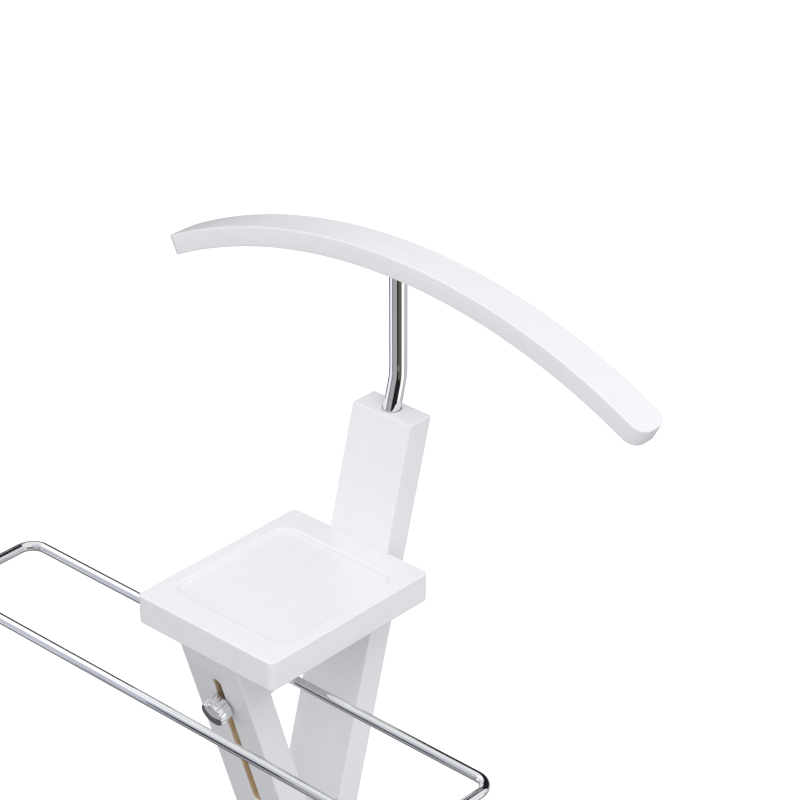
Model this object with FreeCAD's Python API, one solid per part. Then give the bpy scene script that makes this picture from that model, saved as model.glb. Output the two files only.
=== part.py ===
import FreeCAD, Part
import math
import os

Vector = FreeCAD.Vector

# A free-standing valet stand. Millimetres, +Z up, +X to the right seen from the front, the front faces -Y.
# The origin is on the floor, under the middle of the object. Two flat boards cross like an X seen from the
# side: the post runs from the front foot up and back to the coat hanger, and the strut with the rear leg
# below it runs from the tray's front down and back to the rear foot.

# ---------------------------------------------------------------- driving dimensions
TRAY_TOP = 815.0           # height of the tray's rim above the floor
TRAY_BACK = 66.05          # y of the tray's back edge; it centres the two feet on the origin
TRAY_WIDTH = 143.0
TRAY_DEPTH = 171.7
TRAY_THICKNESS = 24.6
TRAY_CORNER = 5.0
TRAY_EDGE = 1.2
RECESS_SIDE_BORDER = 12.7  # left and right borders round the tray's recess
RECESS_END_BORDER = 24.0   # front and back borders
RECESS_DEPTH = 3.5
RECESS_CORNER = 13.0
RECESS_RIM = 1.9           # rounding of the recess's upper rim
RECESS_FLOOR_EDGE = 1.4    # rounding where its walls meet its floor
NOTCH_GAP = 0.15           # on each side of the post, where it stands in the tray

BOARD_WIDTH = 60.0         # post, strut and rear leg are cut from one size of board
BOARD_THICKNESS = 24.0
BOARD_EDGE = 1.2
POST_LEAN = 15.33          # degrees back from the vertical, going up
STRUT_LEAN = 16.8          # degrees back from the vertical, going down
POST_TOP = 917.0           # the post is cut level here
POST_INSET = 3.3           # how far the post's face stands into the tray's back edge, at the rim
STRUT_INSET = 3.2          # from the tray's front down to the strut's face

SLOT_WIDTH = 8.8           # slot in the strut, in which the trouser bar's block is clamped
SLOT_TOP = 27.6            # along the strut's face, from the tray's underside
SLOT_BOTTOM = 168.0
SLOT_RIM = 0.7

MAST_RADIUS = 7.0
MAST_WALL = 1.5
MAST_BEND_RADIUS = 50.0
MAST_BEND_HEIGHT = 943.6   # where the leaning and the upright axes of the mast meet
MAST_BORE_GAP = 0.1        # sliding clearance in the post
MAST_BORE_DEPTH = 95.0     # along the post
MAST_MOUTH_GAP = 0.7       # the bore's mouth is a little wider
MAST_MOUTH_DEPTH = 2.5
MAST_BEHIND_TRAY = 44.4    # from the tray's back edge to the upright part of the mast
PLUG_LENGTH = 20.0         # pressed into the mast's top
STUD_RADIUS = 3.0          # the hanger turns on this stud
STUD_LENGTH = 8.3
SET_SCREW_DOWN = 30.0      # the mast's clamp screw, along the post from its top
SET_SCREW_RADIUS = 2.5
SET_SCREW_SOCKET = 1.3
SET_SCREW_SHORT = 0.3      # it ends this far below the post's back face, and its insert off the mast
SET_INSERT_RADIUS = 3.8

HANGER_RADIUS = 514.8      # outside radius of the curved hanger
HANGER_THICKNESS = 16.7
HANGER_WIDTH = 32.2
HANGER_BEHIND_MAST = 3.8   # the middle of the hanger's width stands behind the mast's axis
HANGER_HALF_ANGLE = 28.4
HANGER_TOP = 1048.2
HANGER_END_RADIUS = 12.0
HANGER_EDGE = 1.0
HANGER_SOCKET_DEPTH = 4.0
HANGER_SOCKET_GAP = 0.3    # round the mast's top
INSERT_LENGTH = 9.0        # the hanger's insert
INSERT_RADIUS = 5.0

BAR_RADIUS = 4.0           # trouser bar: one rod bent to a long rectangle
BAR_DROP = 46.2            # from the tray's rim down to the rod's centre
BAR_END_X = 245.0
BAR_NEAR_OUT = 46.6        # from the tray's front out to the near rod's centre
BAR_CORNER = 14.0
BAR_END_GAP = 4.0          # the rod's two ends meet inside the block
BLOCK_THICKNESS = 21.0
BLOCK_WIDTH = 36.0
BLOCK_ABOVE_BAR = 11.0
BLOCK_BELOW_BAR = 31.5
BLOCK_BACK_WALL = 4.0      # left behind the block's insert
TONGUE_DEPTH = 8.0         # the block's tongue runs in the slot
TONGUE_ABOVE_KNOB = 18.0
TONGUE_BELOW_KNOB = 6.6
BLOCK_INSERT_RADIUS = 5.0
BLOCK_INSERT_LENGTH = 12.0
CLAMP_STUD_RADIUS = 3.0
CLAMP_STUD_GAP = 0.3       # round the stud in the block and the washer
CLAMP_STUD_TIP = 5.0       # from the stud's end to the block's back
WASHER_RADIUS = 9.0
WASHER_THICKNESS = 1.5
WASHER_EDGE = 0.4
KNOB_BELOW_BAR = 21.6
KNOB_RADIUS = 11.0
KNOB_HEIGHT = 14.0
KNOB_DOME = 2.6
KNOB_FLUTES = 14
FLUTE_RADIUS = 1.6
KNOB_HOLE = 0.7            # part of the knob's height that the stud is set into

FOOT_LENGTH = 400.0
FOOT_DEPTH = 46.0
FOOT_HEIGHT = 22.0
FOOT_CORNER = 8.0
GLIDE_HEIGHT = 4.0
GLIDE_RADIUS = 11.0
GLIDE_EDGE = 1.2
GLIDE_FROM_END = 28.0      # from the foot's end in to the glide's middle
GLIDE_PIN_RADIUS = 2.5
GLIDE_PIN_LENGTH = 10.0
RAIL_RADIUS = 4.0          # shoe rails between the two feet
RAIL_PLACES = (95.0, 165.0)
RAIL_SOCKET = 12.0

FOOT_SCREW_X = 18.0
FOOT_SCREW = (60.0, 2.5, 5.0)    # length, radius of the shank and radius of the head
TRAY_SCREW_X = 18.0
TRAY_SCREW = (44.0, 2.2, 4.2)
TRAY_DOWEL_BACK = 13.5     # behind the strut's front face
TRAY_DOWEL_DOWN = 18.0     # into the strut
TRAY_DOWEL_UP = 12.0       # into the tray
JOINT_BOLT_X = 15.0
JOINT_BOLT_UP = 25.0       # along the post, from the crossing of the boards' middle lines
JOINT_NUT_OUT = 20.0       # from the post's middle plane
JOINT_DOWEL_UP = 17.5
JOINT_DOWEL_OUT = 19.0
JOINT_DOWEL_IN = 3.0
BOLT_RADIUS = 3.0
BOLT_HEAD_RADIUS = 5.0
BOLT_HEAD_HEIGHT = 5.0
NUT_RADIUS = 5.0
NUT_NEAR_X = 8.0
NUT_FAR_X = 22.0
NUT_CAP_LENGTH = 2.5
BOLT_PAST_NUT = 4.0        # from the barrel nut's axis to the bolt's end
DOWEL_RADIUS = 4.0

SLIDE_GAP = 0.2            # between flat faces that slide on each other
TURN_GAP = 0.05            # radial clearance of a part that turns on another

# ---------------------------------------------------------------- derived places
TAN_POST = math.tan(math.radians(POST_LEAN))
COS_POST = math.cos(math.radians(POST_LEAN))
SIN_POST = math.sin(math.radians(POST_LEAN))
TAN_STRUT = math.tan(math.radians(STRUT_LEAN))
COS_STRUT = math.cos(math.radians(STRUT_LEAN))
SIN_STRUT = math.sin(math.radians(STRUT_LEAN))
TRAY_BOTTOM = TRAY_TOP - TRAY_THICKNESS
TRAY_FRONT = TRAY_BACK - TRAY_DEPTH
FOOT_TOP = GLIDE_HEIGHT + FOOT_HEIGHT
MAST_Y = TRAY_BACK + MAST_BEHIND_TRAY
HANGER_UNDERSIDE = HANGER_TOP - HANGER_THICKNESS
MAST_TOP = HANGER_UNDERSIDE + HANGER_SOCKET_DEPTH - HANGER_SOCKET_GAP

X_AXIS = Vector(1, 0, 0)
Y_AXIS = Vector(0, 1, 0)
Z_AXIS = Vector(0, 0, 1)
POST_UP = Vector(0, SIN_POST, COS_POST)
POST_FRONT = Vector(0, -COS_POST, SIN_POST)     # out of the post's front face
STRUT_DOWN = Vector(0, SIN_STRUT, -COS_STRUT)
STRUT_BACK = Vector(0, COS_STRUT, SIN_STRUT)    # out of the strut's back face


def post_front_y(z):
    return TRAY_BACK - POST_INSET + (z - TRAY_TOP) * TAN_POST


def post_back_y(z):
    return post_front_y(z) + BOARD_THICKNESS / COS_POST


def strut_front_y(z):
    return TRAY_FRONT + STRUT_INSET + (TRAY_BOTTOM - z) * TAN_STRUT


def strut_back_y(z):
    return strut_front_y(z) + BOARD_THICKNESS / COS_STRUT


def crossing_height(post_y, strut_y):
    """Height at which one face line of the post meets one face line of the strut."""
    return (strut_y(0.0) - post_y(0.0)) / (TAN_POST + TAN_STRUT)


CROSSING_Z = crossing_height(lambda z: (post_front_y(z) + post_back_y(z)) / 2,
                             lambda z: (strut_front_y(z) + strut_back_y(z)) / 2)
CROSSING = Vector(0, (post_front_y(CROSSING_Z) + post_back_y(CROSSING_Z)) / 2, CROSSING_Z)
STRUT_ORIGIN = Vector(0, strut_front_y(TRAY_BOTTOM), TRAY_BOTTOM)


def in_strut(x, along, depth):
    """Point at x, a distance down the strut's face from the tray, and a depth behind that face."""
    return Vector(x, 0, 0) + STRUT_ORIGIN + STRUT_DOWN * along + STRUT_BACK * depth


BAR_Z = TRAY_TOP - BAR_DROP
BAR_DEPTH = BOARD_THICKNESS + BLOCK_THICKNESS / 2     # behind the strut's front face
BAR_ALONG = (STRUT_ORIGIN.z + STRUT_BACK.z * BAR_DEPTH - BAR_Z) / COS_STRUT
BAR_PIVOT = in_strut(0, BAR_ALONG, BAR_DEPTH)
KNOB_ALONG = BAR_ALONG + KNOB_BELOW_BAR
BLOCK_FACE = BOARD_THICKNESS + SLIDE_GAP              # depths behind the strut's front face
BLOCK_BACK = BLOCK_FACE + BLOCK_THICKNESS - 2 * SLIDE_GAP
INSERT_DEPTH = BLOCK_BACK - BLOCK_BACK_WALL - BLOCK_INSERT_LENGTH
WASHER_DEPTH = -WASHER_THICKNESS - SLIDE_GAP
KNOB_BASE_DEPTH = WASHER_DEPTH - SLIDE_GAP


# ---------------------------------------------------------------- shape helpers
def save(shape, name):
    shape.exportStep("parts/" + name + ".step")


def side_profile(points, width):
    """A prism with its outline given as (y, z) points, centred on the object's middle plane."""
    corners = [Vector(-width / 2, y, z) for y, z in points]
    face = Part.Face(Part.makePolygon(corners + corners[:1]))
    return face.extrude(X_AXIS * width)


def rod(start, end, radius):
    return Part.makeCylinder(radius, (end - start).Length, start, end - start)


def ring(start, end, outer, inner):
    return rod(start, end, outer).cut(rod(start, end, inner))


def rounded_box(low, high, corner):
    """A box whose four upright edges are rounded."""
    box = Part.makeBox(high.x - low.x, high.y - low.y, high.z - low.z, low)
    upright = [edge for edge in box.Edges if abs(edge.Vertexes[0].Z - edge.Vertexes[1].Z) > 0.1]
    return box.makeFillet(corner, upright)


def edges_where(shape, test, wanted=True):
    """Edges that pass a test at both ends and in the middle, or with wanted=False all the others."""
    chosen = []
    for edge in shape.Edges:
        first, last = edge.ParameterRange
        samples = [edge.valueAt(first + (last - first) * part) for part in (0.0, 0.5, 1.0)]
        if all(test(point) for point in samples) == wanted:
            chosen.append(edge)
    return chosen


def at_height(point, *heights):
    return any(abs(point.z - height) < 0.01 for height in heights)


def screw_space(head, direction, length, shank, head_radius):
    """The form of a flat-headed screw with its head's top at a point, running along a direction."""
    axis = Vector(direction)
    axis.normalize()
    cone_height = head_radius - shank
    cone = Part.makeCone(head_radius, shank, cone_height, head, axis)
    return cone.fuse(rod(head + axis * cone_height, head + axis * length, shank)).removeSplitter()


def drive_recess(head, direction, shank, head_radius):
    """A cross recess in the head of a screw."""
    turn = FreeCAD.Rotation(Z_AXIS, direction)
    bars = []
    for angle in (0, 90):
        bar = Part.makeBox(head_radius * 1.2, shank * 0.4, head_radius - shank)
        bar.translate(Vector(-head_radius * 0.6, -shank * 0.2, 0))
        bar.rotate(Vector(), Z_AXIS, angle)
        bars.append(bar)
    cross = bars[0].fuse(bars[1])
    cross.Placement = FreeCAD.Placement(head, turn).multiply(cross.Placement)
    return cross


def cap_screw(head, direction, length, shank, head_radius, head_height):
    """A furniture bolt with a cylindrical head and a hexagon socket."""
    axis = Vector(direction)
    axis.normalize()
    body = rod(head, head + axis * head_height, head_radius)
    body = body.fuse(rod(head + axis * head_height, head + axis * length, shank))
    socket_corners = [Vector(0.62 * head_radius * math.cos(math.radians(60 * step)),
                             0.62 * head_radius * math.sin(math.radians(60 * step)), 0) for step in range(6)]
    outline = Part.makePolygon(socket_corners + socket_corners[:1])
    socket = Part.Face(outline).extrude(Z_AXIS * head_height * 0.6)
    socket.Placement = FreeCAD.Placement(head, FreeCAD.Rotation(Z_AXIS, axis))
    return body.cut(socket).removeSplitter()


def tube_path(points, radii, section_radius):
    """A round rod along straight runs joined by tangent arcs; radii are those of the inner points."""
    edges = []
    start = points[0]
    for corner, after, radius in zip(points[1:-1], points[2:], radii):
        incoming = (corner - start).normalize()
        outgoing = (after - corner).normalize()
        turn = incoming.getAngle(outgoing)
        reach = radius * math.tan(turn / 2)
        arc_start = corner - incoming * reach
        arc_end = corner + outgoing * reach
        bisector = (outgoing - incoming).normalize()
        arc_middle = corner + bisector * (radius / math.cos(turn / 2) - radius)
        edges.append(Part.LineSegment(start, arc_start).toShape())
        edges.append(Part.Arc(arc_start, arc_middle, arc_end).toShape())
        start = arc_end
    edges.append(Part.LineSegment(start, points[-1]).toShape())
    circle = Part.Wire(Part.makeCircle(section_radius, points[0], points[1] - points[0]))
    return Part.Wire(edges).makePipeShell([circle], True, False)


# ---------------------------------------------------------------- fixings that cut holes in the boards
def joint_point(x, up, out):
    """Point near the crossing of the boards: x, distance up the post, distance out of its front."""
    return Vector(x, 0, 0) + CROSSING + POST_UP * up + POST_FRONT * out


def joint_bolts():
    """Bolts through the post: side +1 draws the strut on to its front, side -1 the leg on to its back."""
    bolts = []
    for side in (1, -1):
        for x in (-JOINT_BOLT_X, JOINT_BOLT_X):
            head = joint_point(x, side * JOINT_BOLT_UP, -side * BOARD_THICKNESS / 2)
            length = BOARD_THICKNESS / 2 + JOINT_NUT_OUT + BOLT_PAST_NUT
            bolts.append(cap_screw(head, POST_FRONT * side, length, BOLT_RADIUS, BOLT_HEAD_RADIUS,
                                   BOLT_HEAD_HEIGHT))
    return bolts


def bolt_holes():
    holes = []
    for side in (1, -1):
        for x in (-JOINT_BOLT_X, JOINT_BOLT_X):
            head = joint_point(x, side * JOINT_BOLT_UP, -side * BOARD_THICKNESS / 2)
            axis = POST_FRONT * side
            end = head + axis * (BOARD_THICKNESS / 2 + JOINT_NUT_OUT + BOLT_PAST_NUT)
            holes.append(rod(head - axis, head + axis * BOLT_HEAD_HEIGHT, BOLT_HEAD_RADIUS))
            holes.append(rod(head, end, BOLT_RADIUS))
    return Part.makeCompound(holes)


def barrel_line(side, x_side, near, far):
    """Cylinder across the board at a barrel nut's place, from one x to another."""
    start = joint_point(x_side * near, side * JOINT_BOLT_UP, side * JOINT_NUT_OUT)
    end = joint_point(x_side * far, side * JOINT_BOLT_UP, side * JOINT_NUT_OUT)
    return rod(start, end, NUT_RADIUS)


def barrel_places():
    return [(side, x_side) for side in (1, -1) for x_side in (-1, 1)]


def joint_dowels():
    dowels = []
    for side in (1, -1):
        start = joint_point(0, side * JOINT_DOWEL_UP, side * JOINT_DOWEL_IN)
        end = joint_point(0, side * JOINT_DOWEL_UP, side * JOINT_DOWEL_OUT)
        dowels.append(rod(start, end, DOWEL_RADIUS))
    return dowels


def tray_dowels():
    y = strut_front_y(TRAY_BOTTOM) + TRAY_DOWEL_BACK
    dowels = []
    for x in (-TRAY_SCREW_X, TRAY_SCREW_X):
        start = Vector(x, y, TRAY_BOTTOM - TRAY_DOWEL_DOWN)
        dowels.append(rod(start, Vector(x, y, TRAY_BOTTOM + TRAY_DOWEL_UP), DOWEL_RADIUS))
    return dowels


def tray_screw_places():
    return [Vector(x, post_back_y(TRAY_BOTTOM), TRAY_BOTTOM) for x in (-TRAY_SCREW_X, TRAY_SCREW_X)]


def tray_screw_spaces():
    return [screw_space(place, POST_FRONT, *TRAY_SCREW) for place in tray_screw_places()]


def tray_screws():
    recesses = [drive_recess(place, POST_FRONT, *TRAY_SCREW[1:]) for place in tray_screw_places()]
    return [space.cut(recess) for space, recess in zip(tray_screw_spaces(), recesses)]


def foot_screw_places(y):
    return [Vector(x, y, GLIDE_HEIGHT) for x in (-FOOT_SCREW_X, FOOT_SCREW_X)]


def foot_screw_spaces(y):
    return [screw_space(place, Z_AXIS, *FOOT_SCREW) for place in foot_screw_places(y)]


def foot_screws(y):
    recesses = [drive_recess(place, Z_AXIS, *FOOT_SCREW[1:]) for place in foot_screw_places(y)]
    return [space.cut(recess) for space, recess in zip(foot_screw_spaces(y), recesses)]


FRONT_FOOT_Y = (post_front_y(FOOT_TOP) + post_back_y(FOOT_TOP)) / 2
REAR_FOOT_Y = (strut_front_y(FOOT_TOP) + strut_back_y(FOOT_TOP)) / 2

# ---------------------------------------------------------------- boards
def rounded_board(points, keep_square):
    """A board with rounded edges, but none at the heights where it butts on another piece."""
    board = side_profile(points, BOARD_WIDTH)
    return board.makeFillet(BOARD_EDGE, edges_where(board, keep_square, wanted=False))


def mast_axis_point(z):
    return Vector(0, (post_front_y(z) + post_back_y(z)) / 2, z)


def make_post():
    points = [(post_front_y(FOOT_TOP), FOOT_TOP), (post_back_y(FOOT_TOP), FOOT_TOP),
              (post_back_y(POST_TOP), POST_TOP), (post_front_y(POST_TOP), POST_TOP)]
    post = rounded_board(points, lambda point: at_height(point, FOOT_TOP))
    mouth = mast_axis_point(POST_TOP)
    for depth, gap in ((MAST_BORE_DEPTH, MAST_BORE_GAP), (MAST_MOUTH_DEPTH, MAST_MOUTH_GAP)):
        post = post.cut(rod(mouth + POST_UP * 10, mouth - POST_UP * depth, MAST_RADIUS + gap))
    post = post.cut(rod(behind_mast(MAST_RADIUS), behind_mast(BOARD_THICKNESS / 2 + 1), SET_INSERT_RADIUS))
    post = post.cut(bolt_holes())
    for piece in joint_dowels() + tray_screw_spaces() + foot_screw_spaces(FRONT_FOOT_Y):
        post = post.cut(piece)
    return post


def make_strut():
    low_back = crossing_height(post_front_y, strut_back_y)
    low_front = crossing_height(post_front_y, strut_front_y)
    points = [(strut_front_y(TRAY_BOTTOM), TRAY_BOTTOM), (strut_back_y(TRAY_BOTTOM), TRAY_BOTTOM),
              (strut_back_y(low_back), low_back), (strut_front_y(low_front), low_front)]

    def butts(point):
        on_tray = at_height(point, TRAY_BOTTOM)
        on_post = abs(point.y - post_front_y(point.z)) < 0.01
        return on_tray or on_post

    strut = rounded_board(points, butts)
    half = SLOT_WIDTH / 2
    top = in_strut(0, SLOT_TOP + half, 0)
    bottom = in_strut(0, SLOT_BOTTOM - half, 0)
    reach = STRUT_BACK * 40
    slot = Part.makeCylinder(half, 80, top - reach, STRUT_BACK)
    slot = slot.fuse(Part.makeCylinder(half, 80, bottom - reach, STRUT_BACK))
    corners = [top - reach - X_AXIS * half, top - reach + X_AXIS * half,
               bottom - reach + X_AXIS * half, bottom - reach - X_AXIS * half]
    slot = slot.fuse(Part.Face(Part.makePolygon(corners + corners[:1])).extrude(STRUT_BACK * 80))
    strut = strut.cut(slot)
    strut = strut.cut(bolt_holes())
    for side, x_side in barrel_places():
        strut = strut.cut(barrel_line(side, x_side, NUT_NEAR_X, BOARD_WIDTH))
    for piece in joint_dowels() + tray_dowels():
        strut = strut.cut(piece)
    rims = edges_where(strut, lambda point: abs(point.x) < half + 0.01 and on_slot_rim(point, half))
    return strut.makeFillet(SLOT_RIM, rims)


def on_slot_rim(point, half):
    """True on the slot's outline in the strut's front or back face."""
    offset = point - STRUT_ORIGIN
    depth = offset.dot(STRUT_BACK)
    along = offset.dot(STRUT_DOWN)
    on_face = min(abs(depth), abs(depth - BOARD_THICKNESS)) < 0.01
    return on_face and SLOT_TOP - 0.01 < along < SLOT_BOTTOM + 0.01


def make_rear_leg():
    high_front = crossing_height(post_back_y, strut_front_y)
    high_back = crossing_height(post_back_y, strut_back_y)
    points = [(strut_front_y(high_front), high_front), (strut_back_y(high_back), high_back),
              (strut_back_y(FOOT_TOP), FOOT_TOP), (strut_front_y(FOOT_TOP), FOOT_TOP)]

    def butts(point):
        on_foot = at_height(point, FOOT_TOP)
        on_post = abs(point.y - post_back_y(point.z)) < 0.01
        return on_foot or on_post

    leg = rounded_board(points, butts)
    leg = leg.cut(bolt_holes())
    for side, x_side in barrel_places():
        leg = leg.cut(barrel_line(side, x_side, NUT_NEAR_X, BOARD_WIDTH))
    for piece in joint_dowels() + foot_screw_spaces(REAR_FOOT_Y):
        leg = leg.cut(piece)
    return leg


# ---------------------------------------------------------------- tray
def make_tray():
    low = Vector(-TRAY_WIDTH / 2, TRAY_FRONT, TRAY_BOTTOM)
    high = Vector(TRAY_WIDTH / 2, TRAY_BACK, TRAY_TOP)
    tray = rounded_box(low, high, TRAY_CORNER)
    level = edges_where(tray, lambda point: at_height(point, TRAY_TOP, TRAY_BOTTOM))
    tray = tray.makeFillet(TRAY_EDGE, level)
    pocket_low = Vector(low.x + RECESS_SIDE_BORDER, low.y + RECESS_END_BORDER, TRAY_TOP - RECESS_DEPTH)
    pocket_high = Vector(high.x - RECESS_SIDE_BORDER, high.y - RECESS_END_BORDER, TRAY_TOP + 10)
    pocket = rounded_box(pocket_low, pocket_high, RECESS_CORNER)
    floor = edges_where(pocket, lambda point: at_height(point, pocket_low.z))
    tray = tray.cut(pocket.makeFillet(RECESS_FLOOR_EDGE, floor))
    rim = edges_where(tray, lambda point: at_height(point, TRAY_TOP)
                      and pocket_low.x - 0.01 < point.x < pocket_high.x + 0.01
                      and pocket_low.y - 0.01 < point.y < pocket_high.y + 0.01)
    tray = tray.makeFillet(RECESS_RIM, rim)
    points = [(post_front_y(z), z) for z in (TRAY_BOTTOM - 30, TRAY_TOP + 30)]
    points += [(post_front_y(z) + 60, z) for z in (TRAY_TOP + 30, TRAY_BOTTOM - 30)]
    tray = tray.cut(side_profile(points, BOARD_WIDTH + 2 * NOTCH_GAP))
    for piece in tray_dowels() + tray_screw_spaces():
        tray = tray.cut(piece)
    return tray


# ---------------------------------------------------------------- mast and its clamp screw
def behind_mast(out):
    """Point on the clamp screw's axis, a distance behind the mast's axis."""
    return mast_axis_point(POST_TOP) - POST_UP * SET_SCREW_DOWN - POST_FRONT * out


def make_set_insert():
    start = behind_mast(MAST_RADIUS + SET_SCREW_SHORT)
    return ring(start, behind_mast(BOARD_THICKNESS / 2), SET_INSERT_RADIUS, SET_SCREW_RADIUS)


def make_set_screw():
    head = behind_mast(BOARD_THICKNESS / 2 - SET_SCREW_SHORT)
    tip = behind_mast(MAST_RADIUS + MAST_BORE_GAP)
    socket_end = head + (tip - head) * 0.6
    return ring(head, tip, SET_SCREW_RADIUS, SET_SCREW_SOCKET).fuse(rod(socket_end, tip, SET_SCREW_RADIUS))


def make_mast_tube():
    foot = mast_axis_point(POST_TOP) - POST_UP * (MAST_BORE_DEPTH - SLIDE_GAP)
    bend = Vector(0, MAST_Y, MAST_BEND_HEIGHT)
    top = Vector(0, MAST_Y, MAST_TOP)
    outer = tube_path([foot, bend, top], [MAST_BEND_RADIUS], MAST_RADIUS)
    inner = tube_path([foot, bend, top], [MAST_BEND_RADIUS], MAST_RADIUS - MAST_WALL)
    return outer.cut(inner)


def make_mast_stud():
    """A plug pressed into the tube's top, with a stud that the hanger turns on."""
    top = Vector(0, MAST_Y, MAST_TOP)
    plug = rod(top - Z_AXIS * PLUG_LENGTH, top, MAST_RADIUS - MAST_WALL)
    return plug.fuse(rod(top, top + Z_AXIS * STUD_LENGTH, STUD_RADIUS)).removeSplitter()


# ---------------------------------------------------------------- hanger
def make_hanger():
    front = MAST_Y + HANGER_BEHIND_MAST - HANGER_WIDTH / 2
    centre = Vector(0, front, HANGER_TOP - HANGER_RADIUS)

    def on_arc(radius, degrees):
        angle = math.radians(degrees)
        return centre + Vector(radius * math.sin(angle), 0, radius * math.cos(angle))

    inside = HANGER_RADIUS - HANGER_THICKNESS
    end = HANGER_HALF_ANGLE
    top = Part.Arc(on_arc(HANGER_RADIUS, -end), on_arc(HANGER_RADIUS, 0), on_arc(HANGER_RADIUS, end))
    under = Part.Arc(on_arc(inside, end), on_arc(inside, 0), on_arc(inside, -end))
    outline = [top.toShape(), Part.LineSegment(on_arc(HANGER_RADIUS, end), on_arc(inside, end)).toShape(),
               under.toShape(), Part.LineSegment(on_arc(inside, -end), on_arc(HANGER_RADIUS, -end)).toShape()]
    hanger = Part.Face(Part.Wire(outline)).extrude(Y_AXIS * HANGER_WIDTH)
    radial = [edge for edge in hanger.Edges if abs(edge.Length - HANGER_THICKNESS) < 0.01]
    hanger = hanger.makeFillet(HANGER_END_RADIUS, radial)

    def on_rim(point):
        distance = math.hypot(point.x, point.z - centre.z)
        return min(abs(distance - HANGER_RADIUS), abs(distance - inside)) < 0.01

    hanger = hanger.makeFillet(HANGER_EDGE, edges_where(hanger, on_rim))
    socket_top = Vector(0, MAST_Y, HANGER_UNDERSIDE + HANGER_SOCKET_DEPTH)
    socket_bottom = socket_top - Z_AXIS * HANGER_THICKNESS
    hanger = hanger.cut(rod(socket_bottom, socket_top, MAST_RADIUS + HANGER_SOCKET_GAP))
    return hanger.cut(rod(socket_top, socket_top + Z_AXIS * INSERT_LENGTH, INSERT_RADIUS))


def make_hanger_insert():
    bottom = Vector(0, MAST_Y, HANGER_UNDERSIDE + HANGER_SOCKET_DEPTH)
    return ring(bottom, bottom + Z_AXIS * INSERT_LENGTH, INSERT_RADIUS, STUD_RADIUS + TURN_GAP)


# ---------------------------------------------------------------- trouser bar and its clamp
def make_trouser_bar():
    far = BAR_PIVOT.y
    near = TRAY_FRONT - BAR_NEAR_OUT
    points = [Vector(BAR_END_GAP / 2, far, BAR_Z), Vector(BAR_END_X, far, BAR_Z),
              Vector(BAR_END_X, near, BAR_Z), Vector(-BAR_END_X, near, BAR_Z),
              Vector(-BAR_END_X, far, BAR_Z), Vector(-BAR_END_GAP / 2, far, BAR_Z)]
    return tube_path(points, [BAR_CORNER] * 4, BAR_RADIUS)


def strut_box(half_width, along_low, along_high, depth_low, depth_high):
    """A box set square to the strut."""
    base = in_strut(-half_width, along_low, depth_low)
    corners = [base, base + X_AXIS * half_width * 2,
               base + X_AXIS * half_width * 2 + STRUT_DOWN * (along_high - along_low),
               base + STRUT_DOWN * (along_high - along_low)]
    face = Part.Face(Part.makePolygon(corners + corners[:1]))
    return face.extrude(STRUT_BACK * (depth_high - depth_low))


def make_bar_block():
    block = strut_box(BLOCK_WIDTH / 2, BAR_ALONG - BLOCK_ABOVE_BAR, BAR_ALONG + BLOCK_BELOW_BAR,
                      BLOCK_FACE, BLOCK_BACK)
    block = block.makeFillet(BOARD_EDGE, block.Edges)
    tongue = strut_box(SLOT_WIDTH / 2 - SLIDE_GAP, KNOB_ALONG - TONGUE_ABOVE_KNOB,
                       KNOB_ALONG + TONGUE_BELOW_KNOB, BOARD_THICKNESS - TONGUE_DEPTH, BLOCK_FACE + 1)
    block = block.fuse(tongue).removeSplitter()
    half = X_AXIS * BLOCK_WIDTH
    block = block.cut(rod(BAR_PIVOT - half, BAR_PIVOT + half, BAR_RADIUS + TURN_GAP))
    clamp_end = in_strut(0, KNOB_ALONG, BLOCK_BACK - BLOCK_BACK_WALL)
    block = block.cut(rod(in_strut(0, KNOB_ALONG, 0), clamp_end, CLAMP_STUD_RADIUS + CLAMP_STUD_GAP))
    return block.cut(rod(in_strut(0, KNOB_ALONG, INSERT_DEPTH), clamp_end, BLOCK_INSERT_RADIUS))


def make_block_insert():
    start = in_strut(0, KNOB_ALONG, INSERT_DEPTH)
    end = start + STRUT_BACK * BLOCK_INSERT_LENGTH
    return ring(start, end, BLOCK_INSERT_RADIUS, CLAMP_STUD_RADIUS + TURN_GAP)


def make_clamp_stud():
    start = in_strut(0, KNOB_ALONG, KNOB_BASE_DEPTH - KNOB_HEIGHT * KNOB_HOLE)
    return rod(start, in_strut(0, KNOB_ALONG, BLOCK_BACK - CLAMP_STUD_TIP), CLAMP_STUD_RADIUS)


def make_clamp_washer():
    start = in_strut(0, KNOB_ALONG, WASHER_DEPTH)
    end = start + STRUT_BACK * WASHER_THICKNESS
    washer = ring(start, end, WASHER_RADIUS, CLAMP_STUD_RADIUS + CLAMP_STUD_GAP)
    outer = [edge for edge in washer.Edges if edge.Length > 2 * math.pi * WASHER_RADIUS - 0.1]
    return washer.makeFillet(WASHER_EDGE, outer)


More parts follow.
